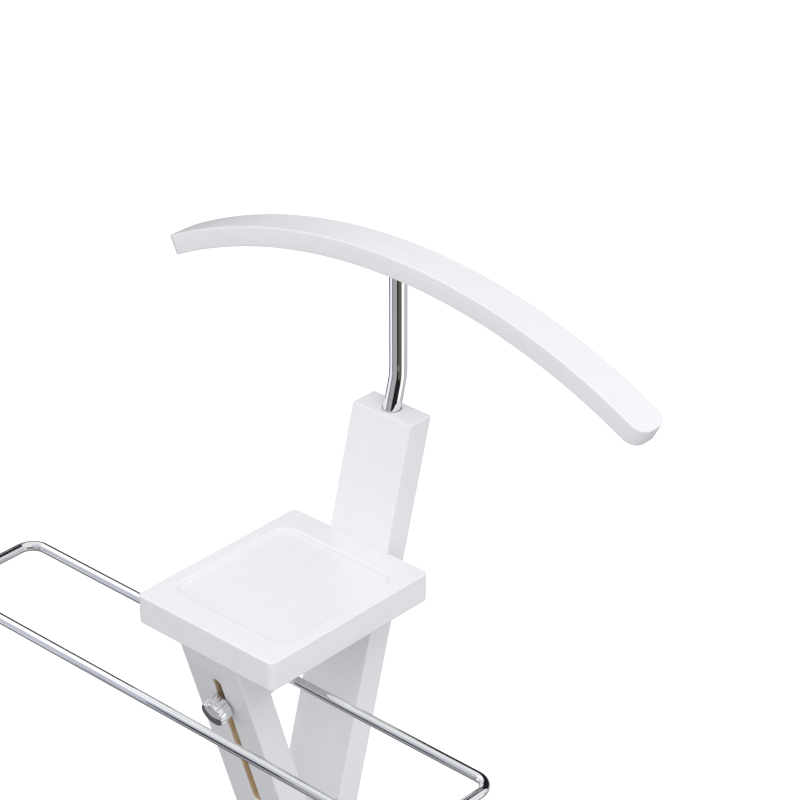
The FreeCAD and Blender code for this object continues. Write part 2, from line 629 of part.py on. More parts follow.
def make_clamp_knob():
    """A round knob with a fluted grip and a domed face, turned about +Z and then set on the strut."""
    shoulder = KNOB_HEIGHT - KNOB_DOME
    rim = Vector(KNOB_RADIUS, 0, shoulder)
    crown = Vector(0, 0, KNOB_HEIGHT)
    dome_radius = (KNOB_RADIUS ** 2 + KNOB_DOME ** 2) / (2 * KNOB_DOME)
    half_angle = math.asin(KNOB_RADIUS / dome_radius) / 2
    middle = Vector(dome_radius * math.sin(half_angle), 0,
                    KNOB_HEIGHT - dome_radius * (1 - math.cos(half_angle)))
    outline = [Part.LineSegment(Vector(), Vector(KNOB_RADIUS, 0, 0)).toShape(),
               Part.LineSegment(Vector(KNOB_RADIUS, 0, 0), rim).toShape(),
               Part.Arc(rim, middle, crown).toShape(),
               Part.LineSegment(crown, Vector()).toShape()]
    knob = Part.Face(Part.Wire(outline)).revolve(Vector(), Z_AXIS, 360)
    for step in range(KNOB_FLUTES):
        angle = 2 * math.pi * step / KNOB_FLUTES
        place = Vector(math.cos(angle), math.sin(angle), 0) * (KNOB_RADIUS + FLUTE_RADIUS * 0.5)
        knob = knob.cut(rod(place - Z_AXIS, place + Z_AXIS * (KNOB_HEIGHT + 1), FLUTE_RADIUS))
    knob = knob.cut(rod(-Z_AXIS, Z_AXIS * KNOB_HEIGHT * KNOB_HOLE, CLAMP_STUD_RADIUS))
    base = in_strut(0, KNOB_ALONG, KNOB_BASE_DEPTH)
    knob.Placement = FreeCAD.Placement(base, FreeCAD.Rotation(Z_AXIS, STRUT_BACK * -1))
    return knob


# ---------------------------------------------------------------- feet, glides and shoe rails
def rail_ends():
    return FRONT_FOOT_Y + FOOT_DEPTH / 2 - RAIL_SOCKET, REAR_FOOT_Y - FOOT_DEPTH / 2 + RAIL_SOCKET


def make_rails():
    start, end = rail_ends()
    height = GLIDE_HEIGHT + FOOT_HEIGHT / 2
    places = sorted([-x for x in RAIL_PLACES] + list(RAIL_PLACES))
    return [rod(Vector(x, start, height), Vector(x, end, height), RAIL_RADIUS) for x in places]


def make_glide(x, y):
    pad = Part.makeCylinder(GLIDE_RADIUS, GLIDE_HEIGHT, Vector(x, y, 0), Z_AXIS)
    pad = pad.makeFillet(GLIDE_EDGE, [edge for edge in pad.Edges if edge.BoundBox.ZMax < 0.01])
    pin = rod(Vector(x, y, GLIDE_HEIGHT), Vector(x, y, GLIDE_HEIGHT + GLIDE_PIN_LENGTH), GLIDE_PIN_RADIUS)
    return pad.fuse(pin).removeSplitter()


def make_foot(y, glides, rails):
    low = Vector(-FOOT_LENGTH / 2, y - FOOT_DEPTH / 2, GLIDE_HEIGHT)
    high = Vector(FOOT_LENGTH / 2, y + FOOT_DEPTH / 2, FOOT_TOP)
    foot = rounded_box(low, high, FOOT_CORNER)
    level = edges_where(foot, lambda point: at_height(point, FOOT_TOP, GLIDE_HEIGHT))
    foot = foot.makeFillet(BOARD_EDGE, level)
    for piece in glides + rails + foot_screw_spaces(y):
        foot = foot.cut(piece)
    return foot


# ---------------------------------------------------------------- write every piece
def main():
    rails = make_rails()
    glide_x = FOOT_LENGTH / 2 - GLIDE_FROM_END
    glides = {}
    for y in (FRONT_FOOT_Y, REAR_FOOT_Y):
        glides[y] = [make_glide(x, y) for x in (-glide_x, glide_x)]

    nuts = []
    caps = []
    for side, x_side in barrel_places():
        nuts.append(barrel_line(side, x_side, NUT_NEAR_X, NUT_FAR_X).cut(bolt_holes()))
        caps.append(barrel_line(side, x_side, BOARD_WIDTH / 2 - NUT_CAP_LENGTH, BOARD_WIDTH / 2))

    pieces = {
        "post": make_post(),
        "tray_strut": make_strut(),
        "rear_leg": make_rear_leg(),
        "tray": make_tray(),
        "hanger": make_hanger(),
        "hanger_insert": make_hanger_insert(),
        "mast_tube": make_mast_tube(),
        "mast_stud": make_mast_stud(),
        "mast_set_screw": make_set_screw(),
        "mast_set_insert": make_set_insert(),
        "trouser_bar": make_trouser_bar(),
        "bar_block": make_bar_block(),
        "bar_block_insert": make_block_insert(),
        "bar_clamp_stud": make_clamp_stud(),
        "bar_clamp_washer": make_clamp_washer(),
        "bar_clamp_knob": make_clamp_knob(),
        "joint_bolts": Part.makeCompound(joint_bolts()),
        "joint_barrel_nuts": Part.makeCompound(nuts),
        "joint_nut_caps": Part.makeCompound(caps),
        "joint_dowels": Part.makeCompound(joint_dowels()),
        "tray_dowels": Part.makeCompound(tray_dowels()),
        "tray_screws": Part.makeCompound(tray_screws()),
        "front_foot": make_foot(FRONT_FOOT_Y, glides[FRONT_FOOT_Y], rails),
        "rear_foot": make_foot(REAR_FOOT_Y, glides[REAR_FOOT_Y], rails),
        "front_foot_screws": Part.makeCompound(foot_screws(FRONT_FOOT_Y)),
        "rear_foot_screws": Part.makeCompound(foot_screws(REAR_FOOT_Y)),
        "front_glides": Part.makeCompound(glides[FRONT_FOOT_Y]),
        "rear_glides": Part.makeCompound(glides[REAR_FOOT_Y]),
    }
    for number, rail in enumerate(rails, 1):
        pieces["shoe_rail_%d" % number] = rail

    os.makedirs("parts", exist_ok=True)
    whole = FreeCAD.BoundBox()
    for name, shape in pieces.items():
        save(shape, name)
        whole.add(shape.BoundBox)
        print("%-18s solids %d valid %s" % (name, len(shape.Solids), shape.isValid()))
    print("whole", whole)
    print("bar pivot", BAR_PIVOT, "knob axis", in_strut(0, KNOB_ALONG, 0), "feet", FRONT_FOOT_Y, REAR_FOOT_Y)


main()
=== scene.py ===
import math

import bmesh
import bpy
from mathutils import Matrix, Vector


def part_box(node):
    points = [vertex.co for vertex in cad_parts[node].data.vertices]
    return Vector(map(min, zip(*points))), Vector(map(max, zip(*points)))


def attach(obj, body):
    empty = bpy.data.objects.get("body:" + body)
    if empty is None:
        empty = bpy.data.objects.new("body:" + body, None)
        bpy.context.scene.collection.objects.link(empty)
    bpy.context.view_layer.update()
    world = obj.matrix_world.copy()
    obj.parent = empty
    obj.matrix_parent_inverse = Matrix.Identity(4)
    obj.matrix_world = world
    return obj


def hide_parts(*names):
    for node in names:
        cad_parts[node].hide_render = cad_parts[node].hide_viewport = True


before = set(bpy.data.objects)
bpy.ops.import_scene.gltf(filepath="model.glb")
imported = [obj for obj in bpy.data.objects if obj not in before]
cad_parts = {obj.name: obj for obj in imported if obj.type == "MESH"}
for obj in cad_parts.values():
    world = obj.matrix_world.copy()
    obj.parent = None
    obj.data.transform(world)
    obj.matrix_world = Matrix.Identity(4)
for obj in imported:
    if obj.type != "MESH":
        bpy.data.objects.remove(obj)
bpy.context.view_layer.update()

# A valet stand: lacquered boards, chrome tube and rods. Metres, in the CAD frame.

# ---------------------------------------------------------------- the camera's place
CAMERA_AZIMUTH = math.radians(42.2)      # from the front, towards the right
CAMERA_ELEVATION = math.radians(28.66)
CAMERA_DISTANCE = 2.2246
CAMERA_LENS = 129.4                      # millimetres, on a 36 mm sensor
CAMERA_SENSOR = 36.0
CAMERA_REACH = 60.0
AIM_BEHIND_MAST = 0.0019
AIM_ABOVE_POST = 0.0032

# ---------------------------------------------------------------- sizes of the pieces built here
STRUT_LEAN = math.radians(16.8)
STRUT_DOWN = Vector((0, math.sin(STRUT_LEAN), -math.cos(STRUT_LEAN)))
STRUT_BACK = Vector((0, math.cos(STRUT_LEAN), math.sin(STRUT_LEAN)))   # out of the strut's back face
STRUT_ORIGIN = Vector((0, -0.10245, 0.7904))    # where the strut's front face meets the tray
BOARD_THICKNESS = 0.024

HANGER_RADIUS = 0.5148
HANGER_THICKNESS = 0.0167
HANGER_HALF_WIDTH = 0.0161
HANGER_HALF_ANGLE = math.radians(28.4)
HANGER_MIDDLE_Y = 0.11425
HANGER_TOP = 1.04815          # just under the crown of the CAD's hanger, which is made of flat facets
HANGER_END_RADIUS = 0.012
HANGER_EDGE = 0.001
HANGER_EDGE_STEPS = 6
HANGER_EDGE_MARGIN = 0.0006   # a strip of faces this wide lies next to each rounded edge
HANGER_CORNER_STEPS = 12
HANGER_STEPS = 120

MAST_RADIUS = 0.007
MAST_BORE = 0.0055
MAST_FOOT = Vector((0, 0.07806, 0.82557))
MAST_BEND = Vector((0, 0.11045, 0.9436))
MAST_TOP = Vector((0, 0.11045, 1.0352))
MAST_BEND_RADIUS = 0.05
MAST_BEND_STEPS = 24
MAST_SIDES = 64

BAR_RADIUS = 0.004
BAR_HEIGHT = 0.7688
BAR_FAR_Y = -0.05989
BAR_NEAR_Y = -0.15225
BAR_END_X = 0.245
BAR_CORNER = 0.014
BAR_END_GAP = 0.002           # from the middle to each end of the rod
ROD_BEND_STEPS = 20
ROD_SIDES = 48
SHOE_RAILS = 4

SLOT_HALF_WIDTH = 0.0044
SLOT_PAINT_DEPTH = 0.0009     # the lacquer reaches this far into the slot
SLOT_PAINT_SWAY = 0.0005
SLOT_PAINT_FADE = 0.0006
SLOT_BACK_PAINT = 0.004       # and this far from the back
SLOT_BACK_FADE = 0.001
SLOT_MARGIN = 0.0002          # the slot's material reaches this far past its walls
SLOT_MARGIN_FADE = 0.0001

KNOB_ALONG = 0.05458
KNOB_BASE = -0.0019           # behind the strut's front face, so in front of it
KNOB_RADIUS = 0.011
KNOB_HEIGHT = 0.014
KNOB_DOME = 0.0026
KNOB_DOME_INSET = 0.0007      # the dome starts this far inside the rim
KNOB_DOME_STEPS = 11
KNOB_TIP = 0.00001            # radius of the dome's last ring
KNOB_EDGE = 0.0006            # height of its broken edges
KNOB_EDGE_INSET = 0.0002
KNOB_EDGE_TOP = 0.0001
KNOB_FLUTES = 14
FLUTE_RADIUS = 0.0016
FLUTE_STEPS = 24

SHARP_ANGLE = math.radians(40)
MERGE_DISTANCE = 1e-7


# ---------------------------------------------------------------- material helpers
class Shader:
    """A small builder for node materials."""

    def __init__(self, name):
        self.material = bpy.data.materials.new(name)
        self.material.use_nodes = True
        self.tree = self.material.node_tree
        self.tree.nodes.clear()
        self.output = self.add("ShaderNodeOutputMaterial")
        self.surface = self.add("ShaderNodeBsdfPrincipled")
        self.join(self.surface, "BSDF", self.output, "Surface")
        self.place = self.add("ShaderNodeTexCoord")

    def add(self, kind, **settings):
        node = self.tree.nodes.new(kind)
        for key, value in settings.items():
            setattr(node, key, value)
        return node

    def join(self, source, outlet, target, inlet):
        self.tree.links.new(source.outputs[outlet], target.inputs[inlet])

    def set(self, **values):
        for key, value in values.items():
            self.surface.inputs[key.replace("_", " ")].default_value = value

    def stretched(self, scale):
        """Object coordinates in metres, multiplied by a scale along each axis."""
        mapping = self.add("ShaderNodeMapping")
        mapping.inputs["Scale"].default_value = scale
        self.join(self.place, "Object", mapping, "Vector")
        return mapping

    def noise(self, scale, size, detail=4.0, roughness=0.55):
        texture = self.add("ShaderNodeTexNoise")
        texture.inputs["Scale"].default_value = size
        texture.inputs["Detail"].default_value = detail
        texture.inputs["Roughness"].default_value = roughness
        self.join(self.stretched(scale), "Vector", texture, "Vector")
        return texture

    def ranged(self, source, outlet, low, high, to_low, to_high):
        """A value mapped from one range to another and held inside it."""
        node = self.add("ShaderNodeMapRange")
        for inlet, value in zip(("From Min", "From Max", "To Min", "To Max"), (low, high, to_low, to_high)):
            node.inputs[inlet].default_value = value
        self.join(source, outlet, node, "Value")
        return node

    def calculated(self, operation, *sources):
        """A sum, a product and the like of one or two (node, outlet) pairs."""
        node = self.add("ShaderNodeMath", operation=operation)
        for inlet, (source, outlet) in enumerate(sources):
            self.join(source, outlet, node, inlet)
        return node

    def mix_colour(self, factor, outlet, first, second):
        """One colour faded into the other; each is a tuple or a socket."""
        node = self.add("ShaderNodeMix", data_type="RGBA")
        self.join(factor, outlet, node, 0)
        for inlet, value in ((6, first), (7, second)):
            if isinstance(value, tuple):
                node.inputs[inlet].default_value = (*value, 1.0)
            else:
                self.tree.links.new(value, node.inputs[inlet])
        return node.outputs[2]

    def bump(self, layers):
        """Bump layers, each (node, outlet, strength, distance in metres), one on top of the other."""
        last = None
        for node, outlet, strength, distance in layers:
            bump = self.add("ShaderNodeBump")
            bump.inputs["Strength"].default_value = strength
            bump.inputs["Distance"].default_value = distance
            self.join(node, outlet, bump, "Height")
            if last is not None:
                self.join(last, "Normal", bump, "Normal")
            last = bump
        self.join(last, "Normal", self.surface, "Normal")


def lacquer_shader(name, grain):
    """Satin white lacquer and its colour; grain sets how fine the wood figure under it is on each axis."""
    shader = Shader(name)
    figure = shader.noise(grain, 1.0, detail=5.0)
    cloud = shader.noise((1, 1, 1), 9.0, detail=2.0)
    peel = shader.noise((1, 1, 1), 900.0, detail=1.0)
    tone = shader.ranged(figure, "Fac", 0.3, 0.7, 0.0, 1.0)
    colour = shader.mix_colour(tone, "Result", (0.885, 0.887, 0.910), (0.905, 0.907, 0.928))
    shader.tree.links.new(colour, shader.surface.inputs["Base Color"])
    rough = shader.ranged(cloud, "Fac", 0.3, 0.7, 0.34, 0.44)
    shader.join(rough, "Result", shader.surface, "Roughness")
    shader.set(IOR=1.48, Specular_IOR_Level=0.5, Coat_Weight=0.25, Coat_Roughness=0.22)
    shader.bump([(figure, "Fac", 0.12, 0.0002), (peel, "Fac", 0.06, 0.0001)])
    return shader, colour


def lacquer(name, grain):
    """Satin white lacquer."""
    shader, _ = lacquer_shader(name, grain)
    return shader.material


def chrome(name, along):
    """Polished chrome plate with the faintest drawing marks along the rod."""
    shader = Shader(name)
    marks = shader.noise(along, 1.0, detail=3.0)
    film = shader.noise((1, 1, 1), 25.0, detail=3.0)
    tone = shader.ranged(film, "Fac", 0.35, 0.7, 0.0, 1.0)
    colour = shader.mix_colour(tone, "Result", (0.90, 0.905, 0.915), (0.86, 0.868, 0.88))
    shader.tree.links.new(colour, shader.surface.inputs["Base Color"])
    rough = shader.ranged(film, "Fac", 0.3, 0.75, 0.012, 0.04)
    shader.join(rough, "Result", shader.surface, "Roughness")
    shader.set(Metallic=1.0)
    shader.bump([(marks, "Fac", 0.03, 0.0001)])
    return shader.material


def turned_metal(name, light, dark, low_rough, high_rough):
    """Plated or turned metal with fine marks and a patchy tone."""
    shader = Shader(name)
    patch = shader.noise((1, 1, 1), 160.0, detail=4.0)
    fine = shader.noise((1, 1, 1), 1800.0, detail=2.0)
    tone = shader.ranged(patch, "Fac", 0.3, 0.7, 0.0, 1.0)
    colour = shader.mix_colour(tone, "Result", dark, light)
    shader.tree.links.new(colour, shader.surface.inputs["Base Color"])
    rough = shader.ranged(patch, "Fac", 0.3, 0.7, low_rough, high_rough)
    shader.join(rough, "Result", shader.surface, "Roughness")
    shader.set(Metallic=1.0)
    shader.bump([(fine, "Fac", 0.15, 0.00005)])
    return shader.material


def moulded(name, light, dark, low_rough, high_rough, texture_depth):
    """Moulded plastic or rubber with a fine spark texture."""
    shader = Shader(name)
    spark = shader.noise((1, 1, 1), 1400.0, detail=2.0)
    patch = shader.noise((1, 1, 1), 60.0, detail=3.0)
    tone = shader.ranged(patch, "Fac", 0.3, 0.7, 0.0, 1.0)
    colour = shader.mix_colour(tone, "Result", dark, light)
    shader.tree.links.new(colour, shader.surface.inputs["Base Color"])
    rough = shader.ranged(spark, "Fac", 0.3, 0.7, low_rough, high_rough)
    shader.join(rough, "Result", shader.surface, "Roughness")
    shader.bump([(spark, "Fac", 0.4, texture_depth)])
    return shader.material


def slotted_lacquer(name, grain):
    """Satin lacquer that gives way to raw wood inside the strut's slot."""
    shader, painted = lacquer_shader(name, grain)

    from_origin = shader.add("ShaderNodeVectorMath", operation="SUBTRACT")
    shader.join(shader.place, "Object", from_origin, 0)
    from_origin.inputs[1].default_value = STRUT_ORIGIN
    depth = shader.add("ShaderNodeVectorMath", operation="DOT_PRODUCT")
    shader.join(from_origin, "Vector", depth, 0)
    depth.inputs[1].default_value = STRUT_BACK
    ragged = shader.noise((1, 1, 1), 700.0, detail=3.0)
    sway = shader.ranged(ragged, "Fac", 0.3, 0.7, -SLOT_PAINT_SWAY, SLOT_PAINT_SWAY)
    ragged_depth = shader.calculated("ADD", (depth, "Value"), (sway, "Result"))
    past_paint = shader.ranged(ragged_depth, "Value", SLOT_PAINT_DEPTH, SLOT_PAINT_DEPTH + SLOT_PAINT_FADE,
                               0.0, 1.0)
    back = BOARD_THICKNESS - SLOT_BACK_PAINT
    short_of_back = shader.ranged(ragged_depth, "Value", back - SLOT_BACK_FADE, back, 1.0, 0.0)

    split = shader.add("ShaderNodeSeparateXYZ")
    shader.join(shader.place, "Object", split, "Vector")
    across = shader.calculated("ABSOLUTE", (split, "X"))
    side = SLOT_HALF_WIDTH + SLOT_MARGIN
    in_slot = shader.ranged(across, "Value", side, side + SLOT_MARGIN_FADE, 1.0, 0.0)
    in_depth = shader.calculated("MULTIPLY", (past_paint, "Result"), (short_of_back, "Result"))
    bare = shader.calculated("MULTIPLY", (in_depth, "Value"), (in_slot, "Result"))

    figure = shader.noise((300, 300, 12), 1.0, detail=5.0, roughness=0.65)
    tone = shader.ranged(figure, "Fac", 0.3, 0.7, 0.0, 1.0)
    wood = shader.mix_colour(tone, "Result", (0.62, 0.46, 0.27), (0.80, 0.64, 0.43))
    colour = shader.mix_colour(bare, "Value", painted, wood)
    shader.tree.links.new(colour, shader.surface.inputs["Base Color"])
    return shader.material


def raw_wood(name):
    """Unpainted beech, with grain along Z."""
    shader = Shader(name)
    figure = shader.noise((260, 260, 9), 1.0, detail=6.0, roughness=0.65)
    pore = shader.noise((2600, 2600, 60), 1.0, detail=2.0)
    tone = shader.ranged(figure, "Fac", 0.3, 0.7, 0.0, 1.0)
    colour = shader.mix_colour(tone, "Result", (0.42, 0.29, 0.16), (0.60, 0.45, 0.27))
    shader.tree.links.new(colour, shader.surface.inputs["Base Color"])
    rough = shader.ranged(pore, "Fac", 0.3, 0.7, 0.55, 0.75)
    shader.join(rough, "Result", shader.surface, "Roughness")
    shader.bump([(figure, "Fac", 0.3, 0.0003), (pore, "Fac", 0.3, 0.0001)])
    return shader.material


# ---------------------------------------------------------------- materials
board_lacquer = lacquer("lacquer_upright", (70, 70, 6))
strut_lacquer = slotted_lacquer("lacquer_strut", (70, 70, 6))
tray_lacquer = lacquer("lacquer_tray", (70, 7, 70))
hanger_lacquer = lacquer("lacquer_hanger", (6, 70, 70))
rod_chrome = chrome("chrome_rod", (60, 900, 900))
rail_chrome = chrome("chrome_rail", (900, 60, 900))
mast_chrome = chrome("chrome_mast", (900, 900, 60))
zinc = turned_metal("zinc_steel", (0.66, 0.67, 0.69), (0.52, 0.53, 0.55), 0.24, 0.38)
brass = turned_metal("turned_brass", (0.80, 0.62, 0.30), (0.66, 0.48, 0.21), 0.22, 0.36)
beech = raw_wood("raw_beech")
cap_plastic = moulded("white_plastic", (0.87, 0.87, 0.88), (0.82, 0.82, 0.835), 0.28, 0.4, 0.00004)
glide_rubber = moulded("grey_rubber", (0.11, 0.11, 0.115), (0.075, 0.075, 0.08), 0.6, 0.8, 0.00012)


def dress(node, material):
    """Gives a CAD node its material."""
    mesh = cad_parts[node].data
    mesh.materials.clear()
    mesh.materials.append(material)


NODE_MATERIALS = {
    board_lacquer: ("post", "rear_leg", "bar_block"),
    strut_lacquer: ("tray_strut",),
    tray_lacquer: ("tray",),
    hanger_lacquer: ("front_foot", "rear_foot"),
    zinc: ("mast_stud", "mast_set_screw", "bar_clamp_stud", "bar_clamp_washer", "joint_bolts",
           "joint_barrel_nuts", "tray_screws", "front_foot_screws", "rear_foot_screws"),
    brass: ("hanger_insert", "mast_set_insert", "bar_block_insert"),
    beech: ("joint_dowels", "tray_dowels"),
    cap_plastic: ("joint_nut_caps",),
    glide_rubber: ("front_glides", "rear_glides"),
}
for material, nodes in NODE_MATERIALS.items():
    for node in nodes:
        dress(node, material)


# ---------------------------------------------------------------- pieces built here
def piece(name, points, faces, material, node, body):
    """A smooth mesh that stands for a CAD node."""
    mesh = bpy.data.meshes.new(name)
    mesh.from_pydata(points, [], faces)
    work = bmesh.new()
    work.from_mesh(mesh)
    bmesh.ops.remove_doubles(work, verts=work.verts, dist=MERGE_DISTANCE)
    bmesh.ops.recalc_face_normals(work, faces=work.faces)
    for face in work.faces:
        face.smooth = True
    for edge in work.edges:
        edge.smooth = len(edge.link_faces) != 2 or edge.calc_face_angle(0.0) < SHARP_ANGLE
    work.to_mesh(mesh)
    work.free()
    mesh.materials.append(material)
    made = bpy.data.objects.new(name, mesh)
    bpy.context.scene.collection.objects.link(made)
    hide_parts(node)
    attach(made, body)


def joined_rings(count, size, closed):
    """Faces between neighbouring rings of points, and from the last ring to the first if closed."""
    faces = []
    for ring in range(count if closed else count - 1):
        here, there = ring * size, (ring + 1) % count * size
        for step in range(size):
            after = (step + 1) % size
            faces.append((here + step, here + after, there + after, there + step))
    return faces


def bent_path(corners, radius, arc_steps):
    """Points of a line with rounded corners, each with its direction."""
    path = []
    start = corners[0]
    for corner, after in zip(corners[1:-1], corners[2:]):
        incoming, outgoing = (corner - start).normalized(), (after - corner).normalized()
        turn = incoming.angle(outgoing)
        reach = radius * math.tan(turn / 2)
        inward = (outgoing - incoming).normalized()
        centre = corner + inward * (radius / math.cos(turn / 2))
        axis = incoming.cross(outgoing)
        arm = corner - incoming * reach - centre
        path.append((start, incoming))
        for step in range(arc_steps + 1):
            swing = Matrix.Rotation(turn * step / arc_steps, 3, axis)
            path.append((centre + swing @ arm, swing @ incoming))
        start = corner + outgoing * reach
    last = (corners[-1] - start).normalized()
    path.append((start, last))
    path.append((corners[-1], last))
    return path


def swept_rings(path, across, radius, size):
    """Rings of points round a path in one plane; across is square to that plane."""
    points = []
    for place, direction in path:
        up = direction.cross(across)
        for step in range(size):
            angle = 2 * math.pi * step / size
            points.append(place + (across * math.cos(angle) + up * math.sin(angle)) * radius)
    return points


def end_caps(points, size):
    """One face over the first ring of points and one over the last."""
    return [tuple(range(size)), tuple(range(len(points) - size, len(points)))]


def build_rod(name, corners, radius, corner_radius, material, node, body):
    """A round rod that lies level."""
    path = bent_path(corners, corner_radius, ROD_BEND_STEPS)
    points = swept_rings(path, Vector((0, 0, 1)), radius, ROD_SIDES)
    faces = joined_rings(len(path), ROD_SIDES, False) + end_caps(points, ROD_SIDES)
    piece(name, points, faces, material, node, body)


def build_mast():
    """A bent tube: up its outside, then down its bore."""
    path = bent_path([MAST_FOOT, MAST_BEND, MAST_TOP], MAST_BEND_RADIUS, MAST_BEND_STEPS)
    across = Vector((1, 0, 0))
    points = swept_rings(path, across, MAST_RADIUS, MAST_SIDES)
    points += swept_rings(path[::-1], across, MAST_BORE, MAST_SIDES)
    faces = joined_rings(2 * len(path), MAST_SIDES, True)
    piece("mast", points, faces, mast_chrome, "mast_tube", "mast")


def hanger_half_outline():
    """One long edge of the flattened hanger, end to end: (along, across, normal along, normal across)."""
    reach = HANGER_RADIUS * HANGER_HALF_ANGLE
    straight = reach - HANGER_END_RADIUS
    side = HANGER_HALF_WIDTH - HANGER_END_RADIUS
    corner = []
    for step in range(HANGER_CORNER_STEPS + 1):
        angle = math.pi / 2 * step / HANGER_CORNER_STEPS
        normal, lift = math.sin(angle), math.cos(angle)
        place = straight + HANGER_END_RADIUS * normal
        corner.append((place, side + HANGER_END_RADIUS * lift, normal, lift))
    middle = [(straight * (2 * step / HANGER_STEPS - 1), HANGER_HALF_WIDTH, 0.0, 1.0)
              for step in range(1, HANGER_STEPS)]
    mirrored = [(-place, across, -normal, lift) for place, across, normal, lift in reversed(corner)]
    return mirrored + middle + corner


def build_hanger():
    """The outline in rings from the top face over its rounded edges to the underside, then bent."""
    half = hanger_half_outline()
    loop = half + [(place, -across, normal, -lift) for place, across, normal, lift in reversed(half)]
    edge = [(HANGER_EDGE + HANGER_EDGE_MARGIN, 0.0)]
    for step in range(HANGER_EDGE_STEPS + 1):
        angle = math.pi / 2 * step / HANGER_EDGE_STEPS
        edge.append((HANGER_EDGE * (1 - math.sin(angle)), HANGER_EDGE * (1 - math.cos(angle))))
    rings = edge + [(inset, HANGER_THICKNESS - depth) for inset, depth in reversed(edge)]
    points = []
    for inset, depth in rings:
        radius = HANGER_RADIUS - depth
        for place, across, normal, lift in loop:
            angle = (place - normal * inset) / HANGER_RADIUS
            points.append(Vector((radius * math.sin(angle), HANGER_MIDDLE_Y + across - lift * inset,
                                  HANGER_TOP - HANGER_RADIUS + radius * math.cos(angle))))
    size = len(loop)
    faces = joined_rings(len(rings), size, False)
    for first in (0, (len(rings) - 1) * size):
        for step in range(len(half) - 1):
            far = first + size - 1 - step
            faces.append((first + step, first + step + 1, far - 1, far))
    piece("coat_hanger", points, faces, hanger_lacquer, "hanger", "hanger")


def flute_limit(angle):
    """How far out from its axis the knob's grip reaches in a direction."""
    spacing = 2 * math.pi / KNOB_FLUTES
    off = (angle + spacing / 2) % spacing - spacing / 2
    centre = KNOB_RADIUS + FLUTE_RADIUS * 0.5
    inside = FLUTE_RADIUS ** 2 - (centre * math.sin(off)) ** 2
    if inside <= 0:
        return KNOB_RADIUS
    return min(KNOB_RADIUS, centre * math.cos(off) - math.sqrt(inside))


def build_knob():
    """A fluted grip with a shallow dome, as rings of points from its base to the dome's tip."""
    size = KNOB_FLUTES * FLUTE_STEPS
    shoulder = KNOB_HEIGHT - KNOB_DOME
    dome_radius = (KNOB_RADIUS ** 2 + KNOB_DOME ** 2) / (2 * KNOB_DOME)
    profile = [
        (KNOB_RADIUS - KNOB_EDGE, 0.0),
        (KNOB_RADIUS - KNOB_EDGE_INSET, KNOB_EDGE_INSET),
        (KNOB_RADIUS, KNOB_EDGE),
        (KNOB_RADIUS, shoulder - KNOB_EDGE),
        (KNOB_RADIUS - KNOB_EDGE_INSET, shoulder - KNOB_EDGE_TOP),
    ]
    for step in range(KNOB_DOME_STEPS + 1):
        radius = (KNOB_RADIUS - KNOB_DOME_INSET) * (1 - step / KNOB_DOME_STEPS) + KNOB_TIP
        profile.append((radius, KNOB_HEIGHT - dome_radius + math.sqrt(dome_radius ** 2 - radius ** 2)))
    out = -STRUT_BACK
    side = Vector((1, 0, 0))
    up = out.cross(side)
    base = STRUT_ORIGIN + STRUT_DOWN * KNOB_ALONG + STRUT_BACK * KNOB_BASE
    points = []
    for radius, height in profile:
        for step in range(size):
            angle = 2 * math.pi * step / size
            reach = min(radius, flute_limit(angle))
            points.append(base + out * height + (side * math.cos(angle) + up * math.sin(angle)) * reach)
    faces = joined_rings(len(profile), size, False) + end_caps(points, size)
    piece("clamp_knob", points, faces, mast_chrome, "bar_clamp_knob", "bar_knob")


build_hanger()
build_mast()
build_knob()
bar_corners = [(BAR_END_GAP, BAR_FAR_Y), (BAR_END_X, BAR_FAR_Y), (BAR_END_X, BAR_NEAR_Y),
               (-BAR_END_X, BAR_NEAR_Y), (-BAR_END_X, BAR_FAR_Y), (-BAR_END_GAP, BAR_FAR_Y)]
build_rod("trouser_loop", [Vector((x, y, BAR_HEIGHT)) for x, y in bar_corners], BAR_RADIUS, BAR_CORNER,
          rod_chrome, "trouser_bar", "trouser_bar")
for number in range(1, SHOE_RAILS + 1):
    node = "shoe_rail_%d" % number
    rail_low, rail_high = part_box(node)
    middle = (rail_low + rail_high) / 2
    ends = [Vector((middle.x, y, middle.z)) for y in (rail_low.y, rail_high.y)]
    build_rod("rail_%d" % number, ends, (rail_high.x - rail_low.x) / 2, 0.0, rail_chrome, node, "frame")


# ---------------------------------------------------------------- studio
FLOOR_HALF = 14.0
FLOOR_LEVEL = -0.0002
FLOOR_GLOW = 0.3           # keeps the floor an even white
BOUNCE_LEVEL = -0.004

# Cards stand on a ring round the object, and only its reflections show them:
# (azimuth from, azimuth to, bottom, top, colour), in degrees from the front towards the right.
CARD_RADIUS = 1.6
CARD_STEP = 4.0            # degrees
CARD_RING = (
    (-140, -84, 0.0, 0.55, (0.10, 0.10, 0.12)),
    (-84, -50, 0.0, 1.0, (1.02, 1.04, 1.10)),
    (-50, -44, 0.0, 0.2, (1.02, 1.04, 1.10)),
    (-50, -35, 0.2, 1.0, (0.58, 0.59, 0.68)),
    (-44, -30, 0.0, 0.2, (0.10, 0.105, 0.13)),
    (-35, -27, 0.2, 1.0, (0.06, 0.06, 0.07)),
    (-30, -27, 0.0, 0.2, (0.25, 0.25, 0.26)),
    (-27, 27, 0.0, 1.0, (0.41, 0.41, 0.42)),
    (27, 47, 0.0, 1.0, (0.012, 0.012, 0.012)),
    (47, 90, 0.0, 0.45, (0.125, 0.125, 0.085)),
    (47, 90, 0.45, 1.0, (0.02, 0.018, 0.022)),
    (90, 126, 0.0, 0.55, (1.25, 1.25, 1.25)),
    (126, 134, 0.0, 0.55, (0.30, 0.31, 0.33)),
    (134, 198, 0.0, 0.55, (0.56, 0.57, 0.60)),
    (198, 220, 0.0, 0.55, (0.05, 0.05, 0.06)),
)

